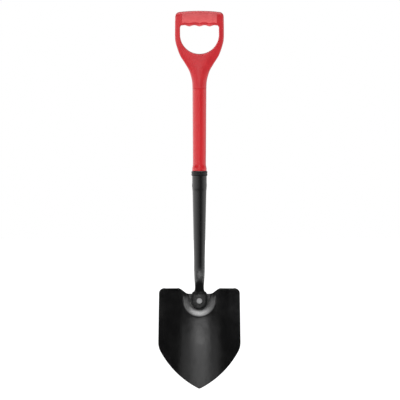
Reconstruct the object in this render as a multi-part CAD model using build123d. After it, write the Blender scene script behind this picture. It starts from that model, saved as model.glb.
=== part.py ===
from build123d import *
import os
from math import atan2, cos, radians, sin, tan

# A D-handled round point shovel, in millimetres. It is drawn hanging upright: +Z runs up the shaft,
# the hollow face of the blade looks towards -Y, and +X is to the right of someone facing it.
# Heights in this file are measured up from the tip. Every piece is moved down by HANG_HEIGHT as it
# is written, so the part's origin is where a hook carries the grip.

# --- Whole shovel ---
LENGTH = 1000.0
HANG_HEIGHT = 958.5
CUT_REACH = 200.0  # longer than any cut has to be
TOLERANCE = 0.01

# --- Blade: one pressed sheet ---
SHEET = 2.0
SURFACE_STEP_X = 6.0
SURFACE_STEP_Z = 15.0
SURFACE_MARGIN = 9.0
BLADE_HALF = 108.8
BLADE_TOP_HALF = 107.2
TIP_RADIUS = 8.0
TIP_TURN_SHARE = 0.8  # of the angle from the tip to the middle of the point's side
POINT_START_Z = 101.0
POINT_START_HALF = 104.5
POINT_MIDDLE = (51.6, 33.4)
SIDE_START_Z = 119.0
TREAD_TOP = 264.5
TREAD_CORNER = 13.0
TREAD_INNER = 57.0
TREAD_OUTER = 93.0
TREAD_DEPTH = 12.0
VALLEY_HALF = 28.5
VALLEY_Z = 249.5
LIFT = 12.0
CURL_START = 200.0
CURL_LIFT = 24.5
DISH = 28.0
DISH_POWER = 2.5

# --- Pan: the shallow recess that the tongue of the socket lies in, with a raised lip round it ---
PAN_CENTRE = 232.0
PAN_DEPTH = 4.0
LIP_OUTER = 42.5
LIP_WALL = 4.0
LIP_HEIGHT = 2.2
LIP_ROUND = 1.4
FLOOR_Z = 250.0
FLOOR_Y = -9.0

# --- Socket: a tapered steel tube, cranked forward and pressed flat into a tongue ---
WALL = 1.8
MOUTH_Z = 572.5
MOUTH_RADIUS = 19.3
STEP_TOP = 531.0
STEP_BOTTOM = 518.0
TAPER_TOP_RADIUS = 18.3
TAPER_END = 340.0
NECK_RADIUS = 14.5
NECK_TOP = 313.0
NECK_SECTIONS = (  # height, distance in front of the shaft axis, half width, half depth
    (NECK_TOP, 0.0, NECK_RADIUS, NECK_RADIUS),
    (301.0, 3.9, 14.1, 14.2),
    (289.0, 7.6, 13.4, 13.0),
    (277.0, 9.2, 12.6, 10.6),
    (265.0, 9.9, 11.9, 6.5),
    (254.0, 10.3, 12.2, 3.2),
)
TONGUE_THICKNESS = 4.0
TONGUE_HALF = 19.5
TONGUE_CENTRE = 229.0
TONGUE_SHOULDER = 246.0
TONGUE_TOP_HALF = 11.5
TONGUE_TOP = 266.0
TONGUE_FLANK = 7.0
SEAT_GAP = 0.1
WELD_RADIUS = 2.6
WELD_TOP = 254.0

# --- Rivets and pin ---
BLADE_RIVET_RADIUS = 4.0
BLADE_RIVET_HEAD = 7.5
BLADE_RIVET_DOME = 4.0
BLADE_RIVET_TAIL = (5.5, 7.0, 2.0)  # radius at the tail's end, radius at the blade, thickness
SOCKET_RIVET_Z = 537.0
SOCKET_RIVET_RADIUS = 3.0
SOCKET_RIVET_HEAD = 5.5
SOCKET_RIVET_PROUD = 0.5
GRIP_PIN_Z = 822.0
GRIP_PIN_RADIUS = 3.0
GRIP_PIN_HALF = 20.4

# --- Ring that closes the mouth of the socket ---
RING_RADIUS = 21.2
RING_BOTTOM = 561.5
RING_TOP = 574.5
RING_ROUND = 1.5

# --- Shaft: a fibreglass tube in a tapered red plastic sleeve ---
CORE_RADIUS = 12.5
CORE_BORE = 9.0
CORE_BOTTOM = 430.0
CORE_TOP = 868.0
LOWER_PLUG_TOP = 570.0
UPPER_PLUG_BOTTOM = 775.0
SLEEVE_TOP = 792.0
SLEEVE_TOP_RADIUS = 18.6
SLEEVE_LOW_RADIUS = 17.4
FLARE_TOP = 592.0
FLARE_BOTTOM = 580.0
FLARE_RADIUS = 19.2

# --- D grip ---
GRIP_HALF = 65.2
GRIP_DEPTH = 14.0
GRIP_ROUND = 7.0
ARM_TOP = 940.0
CORNER_START = 984.0
CROWN_HALF = 54.0
CROWN_EDGE = 996.2
CROWN_MIDDLE = 999.0
OPENING_HALF = 51.3
OPENING_CENTRE = 937.0
OPENING_TOP = 961.0
OPENING_CORNER = 6.0
GRIP_BASE_RADIUS = 18.7
YOKE_SECTIONS = (  # height, half width, half depth, corner radius
    (SLEEVE_TOP, GRIP_BASE_RADIUS, GRIP_BASE_RADIUS, 18.5),
    (816.0, 20.0, 18.0, 17.0),
    (840.0, 27.0, 16.6, 13.0),
    (858.0, 37.2, 15.4, 10.0),
    (880.0, 51.3, 14.4, 8.0),
    (908.0, 61.4, GRIP_DEPTH, GRIP_ROUND),
    (ARM_TOP, GRIP_HALF, GRIP_DEPTH, GRIP_ROUND),
)

# --- Finger grip: a softer sleeve moulded round the bar ---
SLEEVE_HALF = 46.5
BAR_HALF_DEPTH = 11.0
BAR_BOTTOM = 966.0
BAR_TOP = 993.0
BAR_ROUND = 8.0
FINGER_HALF_DEPTH = 16.5
FINGER_ROUND = 13.0
FINGER_BOTTOM = 958.5
FINGER_TOP = LENGTH
BAR_CLEARANCE = 20.0
FINGER_PITCH = 27.0
FINGER_COUNT = 4
GROOVE_RADIUS = 24.0
GROOVE_DEPTH = 3.2


def floor_y(z):
    """The flat floor of the pan, which leans forward by LIFT towards the tip."""
    return FLOOR_Y - (FLOOR_Z - z) * tan(radians(LIFT))


def side_line(z):
    """The blade's centre line seen from the side: straight below the neck, then curling forward."""
    curl_rate = (tan(radians(CURL_LIFT)) - tan(radians(LIFT))) / (2 * CURL_START)
    return floor_y(z) - PAN_DEPTH - curl_rate * max(0.0, CURL_START - z) ** 2


def dish(x):
    """How far the blade's face comes forward at distance x from the middle."""
    return DISH * (abs(x) / BLADE_HALF) ** DISH_POWER


def face_y(x, z):
    """The front face of the blade sheet, away from the pan."""
    return side_line(z) - dish(x)


def back_point(x, z, step=0.05):
    """The point behind (x, z) on the face, one sheet thickness away along the face's normal."""
    dx = (face_y(x + step, z) - face_y(x - step, z)) / (2 * step)
    dz = (face_y(x, z + step) - face_y(x, z - step)) / (2 * step)
    length = (dx * dx + 1 + dz * dz) ** 0.5
    return (x - SHEET * dx / length, face_y(x, z) + SHEET / length, z - SHEET * dz / length)


def spread(start, end, spacing):
    """Evenly spaced values from start to end, about spacing apart."""
    count = round((end - start) / spacing)
    return [start + (end - start) * i / count for i in range(count + 1)]


def blade_surfaces():
    """The front and back faces of the sheet, a little larger than its outline."""
    edge = BLADE_HALF + SURFACE_MARGIN
    xs = spread(-edge, edge, SURFACE_STEP_X)
    zs = spread(-SURFACE_MARGIN, TREAD_TOP + SURFACE_MARGIN, SURFACE_STEP_Z)
    front = [[Vector(x, face_y(x, z), z) for z in zs] for x in xs]
    back = [[Vector(*back_point(x, z)) for z in zs] for x in xs]
    return [Face.make_surface_from_array_of_points(grid, tol=TOLERANCE) for grid in (front, back)]


def mirrored(edges):
    """The edges of a right half outline and their mirror images across the centre line."""
    return list(edges) + [edge.mirror(Plane.YZ) for edge in edges]


def blade_outline():
    """The blade seen from the front, as a face drawn with x across and y up."""
    tip_turn = atan2(POINT_MIDDLE[1], POINT_MIDDLE[0]) * TIP_TURN_SHARE
    tip_end = (TIP_RADIUS * sin(tip_turn), TIP_RADIUS * (1 - cos(tip_turn)))
    tip = RadiusArc((0, 0), tip_end, -TIP_RADIUS)
    point_end = (POINT_START_HALF, POINT_START_Z)
    point = ThreePointArc(tip_end, POINT_MIDDLE, point_end)
    shoulder = TangentArc(point_end, (BLADE_HALF, SIDE_START_Z), tangent=point % 1)
    side_end = (BLADE_TOP_HALF, TREAD_TOP - TREAD_CORNER)
    side = Line(shoulder @ 1, side_end)
    tread_end = (BLADE_TOP_HALF - TREAD_CORNER, TREAD_TOP)
    corner = RadiusArc(side_end, tread_end, -TREAD_CORNER)
    inner_end = (TREAD_INNER, TREAD_TOP)
    tread = Line(tread_end, inner_end)
    middle = (TREAD_INNER + VALLEY_HALF) / 2
    valley_end = (VALLEY_HALF, VALLEY_Z)
    slope = Bezier(inner_end, (middle, TREAD_TOP), (middle, VALLEY_Z), valley_end)
    floor = Line(valley_end, (0, VALLEY_Z))
    return make_face(mirrored([tip, point, shoulder, side, corner, tread, slope, floor]))


def tread_plate(side):
    """The top edge of one shoulder turned forward into a step for a boot."""
    xs = [side * x for x in spread(TREAD_INNER, TREAD_OUTER, SURFACE_STEP_X)]
    back = Spline(*[(x, face_y(x, TREAD_TOP) + SHEET / 2) for x in xs])
    front = Spline(*[(x, face_y(x, TREAD_TOP) - TREAD_DEPTH) for x in xs])
    ends = [Line(back @ 0, front @ 0), Line(back @ 1, front @ 1)]
    return extrude(Pos(0, 0, TREAD_TOP - SHEET) * make_face([back, front] + ends), SHEET)


def rivet_plane():
    """The plane of the pan's floor, with its origin on the rivet and its z axis out of the face."""
    return Plane(
        origin=(0, floor_y(TONGUE_CENTRE), TONGUE_CENTRE),
        x_dir=(1, 0, 0),
        z_dir=(0, -cos(radians(LIFT)), sin(radians(LIFT))),
    )


def along_floor(z):
    """A height on the pan's floor as a distance along the floor from the rivet."""
    return (z - TONGUE_CENTRE) / cos(radians(LIFT))


def pan_outline(radius):
    """The pan seen square to its floor: round below, and straight up past the top of the blade."""
    middle = along_floor(PAN_CENTRE)
    top = along_floor(TREAD_TOP)
    return make_face([
        ThreePointArc((-radius, middle), (0, middle - radius), (radius, middle)),
        Line((radius, middle), (radius, top)),
        Line((radius, top), (-radius, top)),
        Line((-radius, top), (-radius, middle)),
    ])


def make_pan():
    """The pressed pan: a flat floor, a wall round it, and the wall's rounded crest as the lip."""
    wall_top = PAN_DEPTH + LIP_HEIGHT
    pan = Pos(0, 0, -SHEET) * extrude(pan_outline(LIP_OUTER), wall_top + SHEET)
    pan -= extrude(pan_outline(LIP_OUTER - LIP_WALL), wall_top)
    rims = pan.edges().filter_by(lambda e: abs(e.center().Z - wall_top) < TOLERANCE)
    crest = rims.filter_by(lambda e: e.length > LIP_WALL + TOLERANCE)
    return rivet_plane() * fillet(crest, LIP_ROUND)


def make_blade():
    front, back = blade_surfaces()
    block = extrude(Plane.XZ * blade_outline(), CUT_REACH, both=True).solid()
    behind_front = max(block.split(front, keep=Keep.ALL), key=lambda s: s.center().Y)
    sheet = min(behind_front.split(back, keep=Keep.ALL), key=lambda s: s.center().Y)
    sheet -= rivet_plane() * extrude(pan_outline(LIP_OUTER - LIP_WALL / 2), CUT_REACH, both=True)
    blade = sheet + (make_pan() & block) + tread_plate(1) + tread_plate(-1)
    return blade - rivet_plane() * Cylinder(BLADE_RIVET_RADIUS, CUT_REACH)


def tongue_edges():
    """The right half of the tongue's outline, drawn on the pan's floor."""
    shoulder = (TONGUE_HALF, along_floor(TONGUE_SHOULDER))
    top = (TONGUE_TOP_HALF, along_floor(TONGUE_TOP))
    bend = (TONGUE_TOP_HALF, along_floor((TONGUE_TOP + TONGUE_SHOULDER) / 2))
    flank = (TONGUE_HALF, along_floor(TONGUE_SHOULDER + TONGUE_FLANK))
    return (
        RadiusArc((0, -TONGUE_HALF), (TONGUE_HALF, 0), -TONGUE_HALF),
        Line((TONGUE_HALF, 0), shoulder),
        Bezier(shoulder, flank, bend, top),
    )


def make_tongue():
    top = Line((0, along_floor(TONGUE_TOP)), (TONGUE_TOP_HALF, along_floor(TONGUE_TOP)))
    outline = make_face(mirrored([*tongue_edges(), top]))
    plate = extrude(rivet_plane() * Pos(0, 0, SEAT_GAP) * outline, TONGUE_THICKNESS)
    return plate - rivet_plane() * Cylinder(BLADE_RIVET_RADIUS, CUT_REACH)


def neck(inset):
    """The cranked, flattening length of tube, shrunk by inset all round."""
    sections = NECK_SECTIONS if inset == 0 else NECK_SECTIONS[:-1]
    return loft([Pos(0, -y, z) * Ellipse(w - inset, d - inset) for z, y, w, d in sections])


def socket_radius(z):
    """The outside radius of the straight part of the socket."""
    if z >= STEP_TOP:
        return MOUTH_RADIUS
    if z >= STEP_BOTTOM:
        share = (z - STEP_BOTTOM) / (STEP_TOP - STEP_BOTTOM)
        return TAPER_TOP_RADIUS + (MOUTH_RADIUS - TAPER_TOP_RADIUS) * share
    share = max(0.0, z - TAPER_END) / (STEP_BOTTOM - TAPER_END)
    return NECK_RADIUS + (TAPER_TOP_RADIUS - NECK_RADIUS) * share


def turned(profile):
    """A solid of revolution about the shaft axis from (radius, height) points."""
    return revolve(Plane.XZ * make_face(Polyline(*profile, close=True)), Axis.Z)


def socket_profile(inset, top, bottom):
    """Points down the outside of the straight socket, moved inwards by inset."""
    stops = [z for z in (STEP_TOP, STEP_BOTTOM, TAPER_END) if bottom < z < top]
    return [(socket_radius(z) - inset, z) for z in [top, *stops, bottom]]


def cross_bore(radius, z):
    """A bar across the shaft, along X, for cutting holes."""
    return Pos(0, 0, z) * Rot(0, 90, 0) * Cylinder(radius, CUT_REACH)


def make_socket():
    outside = socket_profile(0, MOUTH_Z, NECK_TOP)
    inside = socket_profile(WALL, MOUTH_Z, NECK_TOP)
    tube = turned([*outside, *reversed(inside)])
    crank = neck(0) + make_tongue() - neck(WALL)
    return tube + crank - cross_bore(SOCKET_RIVET_RADIUS, SOCKET_RIVET_Z)


def make_tongue_weld(blade, socket):
    """A bead of weld round the tongue's edge, kept only where it lies in front of the pan."""
    lift = rivet_plane() * Pos(0, 0, SEAT_GAP)
    top = Plane(origin=(0, 0, WELD_TOP))
    path = Wire([lift * edge for edge in mirrored(tongue_edges())])
    ring = Plane(origin=path @ 0, z_dir=path % 0) * Circle(WELD_RADIUS)
    bead = sweep(ring, path=path)
    bead = bead.split(top, keep=Keep.BOTTOM)
    return bead - blade - socket


def make_blade_rivet():
    """A domed head on the tongue, a shank, and a flatter head behind the blade."""
    front = TONGUE_THICKNESS + SEAT_GAP
    sphere = (BLADE_RIVET_HEAD**2 + BLADE_RIVET_DOME**2) / (2 * BLADE_RIVET_DOME)
    dome = Pos(0, 0, front + BLADE_RIVET_DOME - sphere) * Sphere(sphere)
    dome = dome.split(Plane(origin=(0, 0, front)), keep=Keep.TOP)
    shank = rod(BLADE_RIVET_RADIUS, -SHEET, front)
    tail = Pos(0, 0, -SHEET) * Cone(*BLADE_RIVET_TAIL, align=(Align.CENTER, Align.CENTER, Align.MAX))
    return rivet_plane() * (dome + shank + tail)


def make_mouth_ring():
    """A moulded ring pushed over the mouth of the socket."""
    ring = turned([
        (MOUTH_RADIUS, RING_BOTTOM),
        (RING_RADIUS, RING_BOTTOM),
        (RING_RADIUS, RING_TOP),
        (SLEEVE_LOW_RADIUS, RING_TOP),
        (SLEEVE_LOW_RADIUS, MOUTH_Z),
        (MOUTH_RADIUS, MOUTH_Z),
    ])
    rims = ring.edges().filter_by(GeomType.CIRCLE).filter_by(lambda e: e.radius > RING_RADIUS - TOLERANCE)
    return fillet(rims, RING_ROUND)


def make_shaft_sleeve():
    below = socket_profile(WALL, MOUTH_Z, CORE_BOTTOM)
    outside = [
        (SLEEVE_TOP_RADIUS, SLEEVE_TOP),
        (SLEEVE_LOW_RADIUS, FLARE_TOP),
        (FLARE_RADIUS, FLARE_BOTTOM),
        (FLARE_RADIUS, RING_TOP),
        (SLEEVE_LOW_RADIUS, RING_TOP),
        (SLEEVE_LOW_RADIUS, MOUTH_Z),
    ]
    bore = [(CORE_RADIUS, CORE_BOTTOM), (CORE_RADIUS, SLEEVE_TOP)]
    return turned(outside + below + bore) - cross_bore(SOCKET_RIVET_RADIUS, SOCKET_RIVET_Z)


def rod(radius, bottom, top):
    return Pos(0, 0, bottom) * Cylinder(radius, top - bottom, align=(Align.CENTER, Align.CENTER, Align.MIN))


def make_shaft_core():
    core = rod(CORE_RADIUS, CORE_BOTTOM, CORE_TOP) - rod(CORE_BORE, CORE_BOTTOM, CORE_TOP)
    core -= cross_bore(SOCKET_RIVET_RADIUS, SOCKET_RIVET_Z)
    return core - cross_bore(GRIP_PIN_RADIUS, GRIP_PIN_Z)


def make_lower_plug():
    return rod(CORE_BORE, CORE_BOTTOM, LOWER_PLUG_TOP) - cross_bore(SOCKET_RIVET_RADIUS, SOCKET_RIVET_Z)


def make_upper_plug():
    return rod(CORE_BORE, UPPER_PLUG_BOTTOM, CORE_TOP) - cross_bore(GRIP_PIN_RADIUS, GRIP_PIN_Z)


def make_socket_rivet():
    """A rivet right through the socket and shaft, with low heads on both sides."""
    reach = MOUTH_RADIUS + SOCKET_RIVET_PROUD
    rivet = Rot(0, 90, 0) * Cylinder(SOCKET_RIVET_RADIUS, 2 * MOUTH_RADIUS)
    head = Rot(0, 90, 0) * Cylinder(SOCKET_RIVET_HEAD, 2 * reach)
    wall = Cylinder(MOUTH_RADIUS, 4 * SOCKET_RIVET_HEAD)
    return Pos(0, 0, SOCKET_RIVET_Z) * (rivet + (head - wall))


def finger_envelope():
    """The finger grip's outer shape: a rounded bar, crowned on top, with four hollows below."""
    length = 2 * SLEEVE_HALF
    height = FINGER_TOP - FINGER_BOTTOM
    middle = (FINGER_TOP + FINGER_BOTTOM) / 2
    section = RectangleRounded(height, 2 * FINGER_HALF_DEPTH, FINGER_ROUND)
    bar = Pos(-SLEEVE_HALF, 0, middle) * extrude(Rot(0, 90, 0) * section, length)
    first = -FINGER_PITCH * (FINGER_COUNT - 1) / 2
    groove_z = FINGER_BOTTOM + GROOVE_DEPTH - GROOVE_RADIUS
    for i in range(FINGER_COUNT):
        bar -= Pos(first + i * FINGER_PITCH, 0, groove_z) * Rot(90, 0, 0) * Cylinder(GROOVE_RADIUS, CUT_REACH)
    return bar


def crown():
    """The D grip's shoulders and crowned top seen from the front, as a face."""
    edges = [
        Line((0, ARM_TOP), (GRIP_HALF, ARM_TOP)),
        Line((GRIP_HALF, ARM_TOP), (GRIP_HALF, CORNER_START)),
        TangentArc((GRIP_HALF, CORNER_START), (CROWN_HALF, CROWN_EDGE), tangent=(0, 1)),
        ThreePointArc((CROWN_HALF, CROWN_EDGE), (CROWN_HALF / 2, CROWN_MIDDLE), (0, LENGTH)),
    ]
    return make_face(mirrored(edges))


def opening():
    """The hand opening of the D seen from the front, as a face."""
    flat_end = (OPENING_HALF - OPENING_CORNER, OPENING_TOP)
    side_end = (OPENING_HALF, OPENING_TOP - OPENING_CORNER)
    edges = [
        RadiusArc((0, OPENING_CENTRE - OPENING_HALF), (OPENING_HALF, OPENING_CENTRE), -OPENING_HALF),
        Line((OPENING_HALF, OPENING_CENTRE), side_end),
        RadiusArc(side_end, flat_end, -OPENING_CORNER),
        Line(flat_end, (0, OPENING_TOP)),
    ]
    return make_face(mirrored(edges))


def bar_core():
    """The stiff bar inside the finger grip."""
    middle = (BAR_TOP + BAR_BOTTOM) / 2
    section = Rot(0, 90, 0) * RectangleRounded(BAR_TOP - BAR_BOTTOM, 2 * BAR_HALF_DEPTH, BAR_ROUND)
    return Pos(-SLEEVE_HALF, 0, middle) * extrude(section, 2 * SLEEVE_HALF)


def make_d_grip():
    yoke = loft([Pos(0, 0, z) * RectangleRounded(2 * w, 2 * d, r) for z, w, d, r in YOKE_SECTIONS])
    top = extrude(Plane.XZ * crown(), GRIP_DEPTH, both=True)
    rims = top.edges().filter_by(lambda e: abs(abs(e.center().Y) - GRIP_DEPTH) < TOLERANCE)
    rims = rims.filter_by(lambda e: e.center().Z > ARM_TOP + TOLERANCE)
    top = fillet(rims, GRIP_ROUND)
    grip = yoke + top - extrude(Plane.XZ * opening(), CUT_REACH, both=True)
    slot_height = FINGER_TOP - ARM_TOP + BAR_CLEARANCE
    slot = Pos(0, 0, ARM_TOP + slot_height / 2) * Box(2 * SLEEVE_HALF, CUT_REACH, slot_height)
    grip = grip - slot + bar_core()
    grip -= rod(CORE_RADIUS, SLEEVE_TOP, CORE_TOP)
    return grip - cross_bore(GRIP_PIN_RADIUS, GRIP_PIN_Z)


def make_finger_grip():
    return finger_envelope() - bar_core()


def make_grip_pin():
    """A pin through the yoke and the top of the shaft, a little below the yoke's sides."""
    return Pos(0, 0, GRIP_PIN_Z) * Rot(0, 90, 0) * Cylinder(GRIP_PIN_RADIUS, 2 * GRIP_PIN_HALF)


def main():
    os.makedirs("parts", exist_ok=True)
    blade = make_blade()
    socket = make_socket()
    nodes = {
        "blade": blade,
        "socket": socket,
        "tongue_weld": make_tongue_weld(blade, socket),
        "blade_rivet": make_blade_rivet(),
        "mouth_ring": make_mouth_ring(),
        "socket_rivet": make_socket_rivet(),
        "shaft_sleeve": make_shaft_sleeve(),
        "shaft_core": make_shaft_core(),
        "lower_core_plug": make_lower_plug(),
        "upper_core_plug": make_upper_plug(),
        "d_grip": make_d_grip(),
        "finger_grip": make_finger_grip(),
        "grip_pin": make_grip_pin(),
    }
    for name, shape in nodes.items():
        export_step(Pos(0, 0, -HANG_HEIGHT) * shape, f"parts/{name}.step")


main()
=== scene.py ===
"""The visible round point shovel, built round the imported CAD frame."""
import math

import bmesh
import bpy
import numpy as np
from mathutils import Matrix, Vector, noise


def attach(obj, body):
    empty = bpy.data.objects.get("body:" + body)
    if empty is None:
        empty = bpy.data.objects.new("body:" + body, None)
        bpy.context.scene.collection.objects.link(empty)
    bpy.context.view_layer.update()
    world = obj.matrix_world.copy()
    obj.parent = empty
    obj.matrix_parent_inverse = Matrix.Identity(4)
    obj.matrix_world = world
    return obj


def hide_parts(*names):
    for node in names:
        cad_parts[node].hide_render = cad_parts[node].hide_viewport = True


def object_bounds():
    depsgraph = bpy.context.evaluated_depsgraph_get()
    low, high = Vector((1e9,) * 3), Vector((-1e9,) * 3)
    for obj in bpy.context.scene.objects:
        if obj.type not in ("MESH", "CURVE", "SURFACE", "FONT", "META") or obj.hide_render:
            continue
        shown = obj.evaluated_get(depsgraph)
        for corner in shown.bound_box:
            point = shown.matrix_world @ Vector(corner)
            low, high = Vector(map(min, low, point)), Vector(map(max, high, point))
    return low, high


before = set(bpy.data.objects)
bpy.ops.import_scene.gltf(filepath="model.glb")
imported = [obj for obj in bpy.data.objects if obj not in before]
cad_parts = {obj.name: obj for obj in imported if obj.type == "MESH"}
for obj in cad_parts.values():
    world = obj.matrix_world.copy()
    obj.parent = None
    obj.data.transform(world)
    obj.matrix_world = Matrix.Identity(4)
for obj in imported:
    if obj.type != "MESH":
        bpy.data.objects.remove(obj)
cad_low, cad_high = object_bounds()

# Shapes are worked out in millimetres, with heights measured up from the tip of the blade and the
# shaft's axis at x = y = 0, and turned into metres in the frame by place().
MM = 0.001
TIP_Z = cad_low.z
TOP_HEIGHT = (cad_high.z - cad_low.z) / MM

# --- Blade ---
SHEET = 2.0
BLADE_HALF = 108.8
BLADE_TOP_HALF = 107.2
TIP_RADIUS = 8.0
TIP_TURN_SHARE = 0.8
POINT_START = (104.5, 101.0)
POINT_MIDDLE = (51.6, 33.4)
SIDE_START_Z = 119.0
SHOULDER_FULLNESS = 0.68
TREAD_TOP = 264.5
TREAD_CORNER = 13.0
TREAD_INNER = 57.0
VALLEY_HALF = 28.5
VALLEY_Z = 249.5
STRETCH_FROM = 200.0
ROLL_RADIUS = 1.6
ROLL_FLAT = 9.0
ROLL_FADE = 9.0
LIFT = math.radians(12.0)
CURL_LIFT = math.radians(24.5)
CURL_START = 200.0
DISH = 28.0
DISH_POWER = 2.5
EDGE_ROUND = 0.4
HALF_COLUMNS = 84
ROLL_STEPS = 7
ROLL_FLAT_STEPS = 5

# --- Pan and lip round the tongue ---
PAN_CENTRE = 232.0
PAN_DEPTH = 4.0
PAN_FLOOR_RADIUS = 28.0
PAN_WALL = 12.5
LIP_RADIUS = 39.0
LIP_HALF_WIDTH = 5.6
LIP_HEIGHT = 2.2
LIP_END = 248.0
LIP_FADE = 24.0
FLOOR_Z = 250.0
FLOOR_Y = -9.0
# The pale band on the pan's wall is a painted highlight: paint made pale where the lip's upper wall catches
# the overhead light, strongest at the bottom.
HIGHLIGHT_RADIUS = 35.5
HIGHLIGHT_HALF_WIDTH = 8.5
HIGHLIGHT_END = 250.0
HIGHLIGHT_FADE = 30.0
HIGHLIGHT_AT_SIDES = 0.34

# --- Socket ---
MOUTH_Z = 572.5
MOUTH_RADIUS = 19.3
STEP_TOP = 531.0
STEP_BOTTOM = 518.0
TAPER_TOP_RADIUS = 18.3
TAPER_END = 340.0
NECK_RADIUS = 14.5
TONGUE_HALF = 19.5
TONGUE_CENTRE = 229.0
TONGUE_HALF_THICK = 2.0
TONGUE_END_THIN = 0.55
TONGUE_END_STEPS = 24
SEAT_GAP = 0.1
WELD_TOP = 256.0
WELD_RADIUS = 2.3
WELD_RIPPLES = 46
WELD_RIPPLE = 0.10
# A painted highlight on the front of the socket's bend, where it faces up towards the light.
BEND_HIGHLIGHT = 0.21
BEND_HIGHLIGHT_Z = 299.5
BEND_HIGHLIGHT_REACH = 11.0
BEND_HIGHLIGHT_BACK = -2.0
CREASE_DEPTH = 1.4
CREASE_WIDTH = 4.0
SOCKET_RIVET_Z = 537.0

# --- Ring, sleeve and grip ---
RING_RADIUS = 21.2
RING_BOTTOM = 561.5
RING_TOP = 574.5
SLEEVE_TOP = 792.0
SLEEVE_TOP_RADIUS = 18.6
SLEEVE_LOW_RADIUS = 17.4
FLARE_TOP = 592.0
FLARE_BOTTOM = 580.0
FLARE_RADIUS = 19.2
OPENING_HALF = 51.3
OPENING_CENTRE = 937.0
OPENING_TOP = 962.0
OPENING_CORNER = 7.0
OPENING_FLARE = 5.5
BAR_SLEEVE_HALF = 46.5
FINGER_BOTTOM = 958.5
FINGER_HALF_DEPTH = 16.4
FINGER_PITCH = 27.0
GROOVE_DEPTH = 3.2


def place(points):
    """Millimetres above the tip to metres in the frame."""
    return [(x * MM, y * MM, z * MM + TIP_Z) for x, y, z in points]


def smooth(t):
    """An even S curve from 0 to 1 as t goes from 0 to 1."""
    t = min(1.0, max(0.0, t))
    return t * t * (3 - 2 * t)


def mix(a, b, t):
    """The value a share t of the way from a to b."""
    return a + (b - a) * t


# ---------------------------------------------------------------- mesh building


def add_object(name, points, faces, sharp=35.0):
    """A smooth-shaded mesh object with outward normals, sharp only where it turns more than sharp."""
    mesh = bpy.data.meshes.new(name)
    mesh.from_pydata(place(points), [], faces)
    work = bmesh.new()
    work.from_mesh(mesh)
    bmesh.ops.remove_doubles(work, verts=work.verts, dist=1e-7)
    bmesh.ops.dissolve_degenerate(work, dist=1e-7, edges=work.edges)
    bmesh.ops.recalc_face_normals(work, faces=work.faces)
    if work.calc_volume(signed=True) < 0:
        bmesh.ops.reverse_faces(work, faces=work.faces)
    work.to_mesh(mesh)
    work.free()
    mesh.shade_smooth()
    mesh.set_sharp_from_angle(angle=math.radians(sharp))
    obj = bpy.data.objects.new(name, mesh)
    bpy.context.scene.collection.objects.link(obj)
    return obj


def loft(rings, cap=True):
    """Points and faces of a skin over closed rings of equal length, with both ends capped."""
    count = len(rings[0])
    points = [p for ring in rings for p in ring]
    faces = []
    for i in range(len(rings) - 1):
        for j in range(count):
            k = (j + 1) % count
            faces.append((i * count + j, i * count + k, (i + 1) * count + k, (i + 1) * count + j))
    if cap:
        faces.append(tuple(range(count))[::-1])
        faces.append(tuple(range((len(rings) - 1) * count, len(rings) * count)))
    return points, faces


def lathe(profile, segments=96):
    """Rings of a turned shape about the shaft's axis from (radius, height) points."""
    angles = [2 * math.pi * i / segments for i in range(segments)]
    return [[(r * math.cos(a), r * math.sin(a), z) for a in angles] for r, z in profile]


def arc(centre, radius, start, end, steps):
    """(radius, height) points of an arc, angles in degrees."""
    turns = [math.radians(mix(start, end, i / steps)) for i in range(steps + 1)]
    return [(centre[0] + radius * math.cos(a), centre[1] + radius * math.sin(a)) for a in turns]


def superellipse(half_a, half_b, power, count):
    """count points round a rounded rectangle; power 2 is an ellipse."""
    points = []
    for i in range(count):
        a = 2 * math.pi * i / count
        c, s = math.cos(a), math.sin(a)
        points.append((
            half_a * math.copysign(abs(c) ** (2 / power), c),
            half_b * math.copysign(abs(s) ** (2 / power), s),
        ))
    return points


# ---------------------------------------------------------------- blade


def floor_y(z):
    """The pan's flat floor, which leans forward towards the tip."""
    return FLOOR_Y - (FLOOR_Z - z) * math.tan(LIFT)


def face_y(x, z):
    """The front face of the blade sheet, with the pan and its lip."""
    curl_rate = (math.tan(CURL_LIFT) - math.tan(LIFT)) / (2 * CURL_START)
    side_line = floor_y(z) - PAN_DEPTH - curl_rate * max(0.0, CURL_START - z) ** 2
    dish = DISH * (abs(x) / BLADE_HALF) ** DISH_POWER
    r = math.hypot(x, min(0.0, z - PAN_CENTRE))
    in_pan = 1 - smooth((r - PAN_FLOOR_RADIUS) / PAN_WALL)
    crest = max(0.0, 1 - ((r - LIP_RADIUS) / LIP_HALF_WIDTH) ** 2) ** 2
    lip = LIP_HEIGHT * crest * smooth((LIP_END - z) / LIP_FADE)
    return (side_line - dish - lip) * (1 - in_pan) + floor_y(z) * in_pan


def pan_highlight(x, y, z):
    """Painted highlight on the front of the pan's wall, standing in for the light the lip catches: most at
    the bottom, none at the top edge.
    """
    if y > face_y(x, z) + SHEET / 2:
        return 0.0
    r = math.hypot(x, min(0.0, z - PAN_CENTRE))
    across = max(0.0, 1 - ((r - HIGHLIGHT_RADIUS) / HIGHLIGHT_HALF_WIDTH) ** 2)
    below = max(0.0, PAN_CENTRE - z) / max(r, 1.0)
    return across * mix(HIGHLIGHT_AT_SIDES, 1.0, below ** 4) * smooth((HIGHLIGHT_END - z) / HIGHLIGHT_FADE)


def circle_through(a, b, c):
    """Centre of the circle through three points."""
    (ax, ay), (bx, by), (cx, cy) = a, b, c
    d = 2 * (ax * (by - cy) + bx * (cy - ay) + cx * (ay - by))
    sa, sb, sc = ax * ax + ay * ay, bx * bx + by * by, cx * cx + cy * cy
    x = (sa * (by - cy) + sb * (cy - ay) + sc * (ay - by)) / d
    y = (sa * (cx - bx) + sb * (ax - cx) + sc * (bx - ax)) / d
    return x, y


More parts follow.
